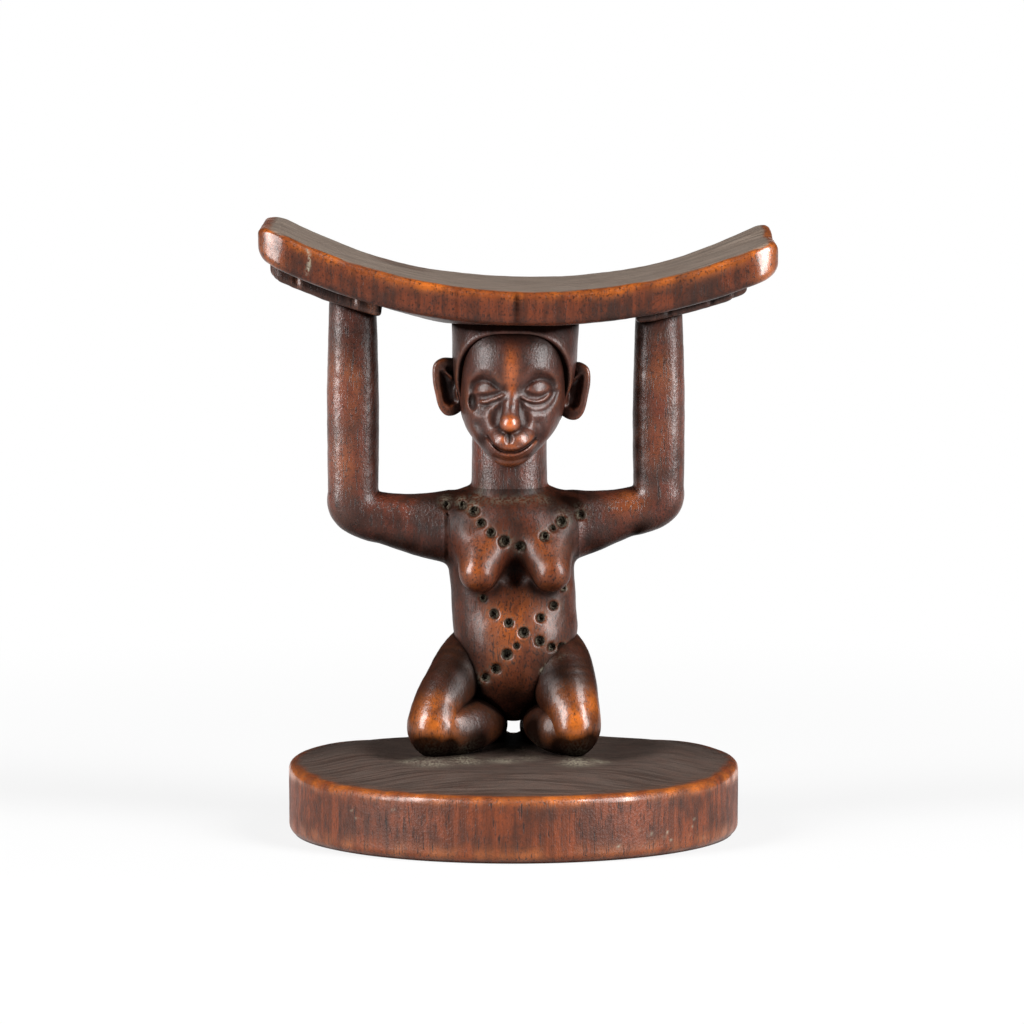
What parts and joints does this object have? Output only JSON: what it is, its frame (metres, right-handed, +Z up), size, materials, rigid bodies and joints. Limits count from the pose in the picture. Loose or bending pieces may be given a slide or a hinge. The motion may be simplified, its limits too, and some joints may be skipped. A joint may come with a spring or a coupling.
{
  "type": "carved caryatid headrest",
  "caption": "Carved wooden neckrest: a kneeling figure on a round base lifts a curved pillow with both raised arms and head.",
  "frame": {"origin": "centre of the round base's flat underside, which stands on a level surface", "axes": "+Z up, +X to the viewer's right along the pillow, the figure faces -Y"},
  "size_m": [0.1346, 0.1186, 0.1605],
  "materials": {
    "polished_wood": "glossy handling patina over dark brown hardwood",
    "red_wood": "satin reddish brown hardwood",
    "dark_wood": "dull smoke-darkened hardwood"
  },
  "bodies": {
    "root": {"base": "dark_wood", "pillow": "polished_wood", "torso": "polished_wood", "neck": "red_wood", "head": "polished_wood", "coiffure": "dark_wood", "left_ear": "red_wood", "right_ear": "red_wood", "left_upper_arm": "red_wood", "right_upper_arm": "red_wood", "left_forearm": "red_wood", "right_forearm": "red_wood", "left_hand": "dark_wood", "right_hand": "dark_wood", "left_thigh": "polished_wood", "right_thigh": "polished_wood", "left_lower_leg": "polished_wood", "right_lower_leg": "polished_wood", "left_foot": "dark_wood", "right_foot": "dark_wood"}
  },
  "joints": []
}
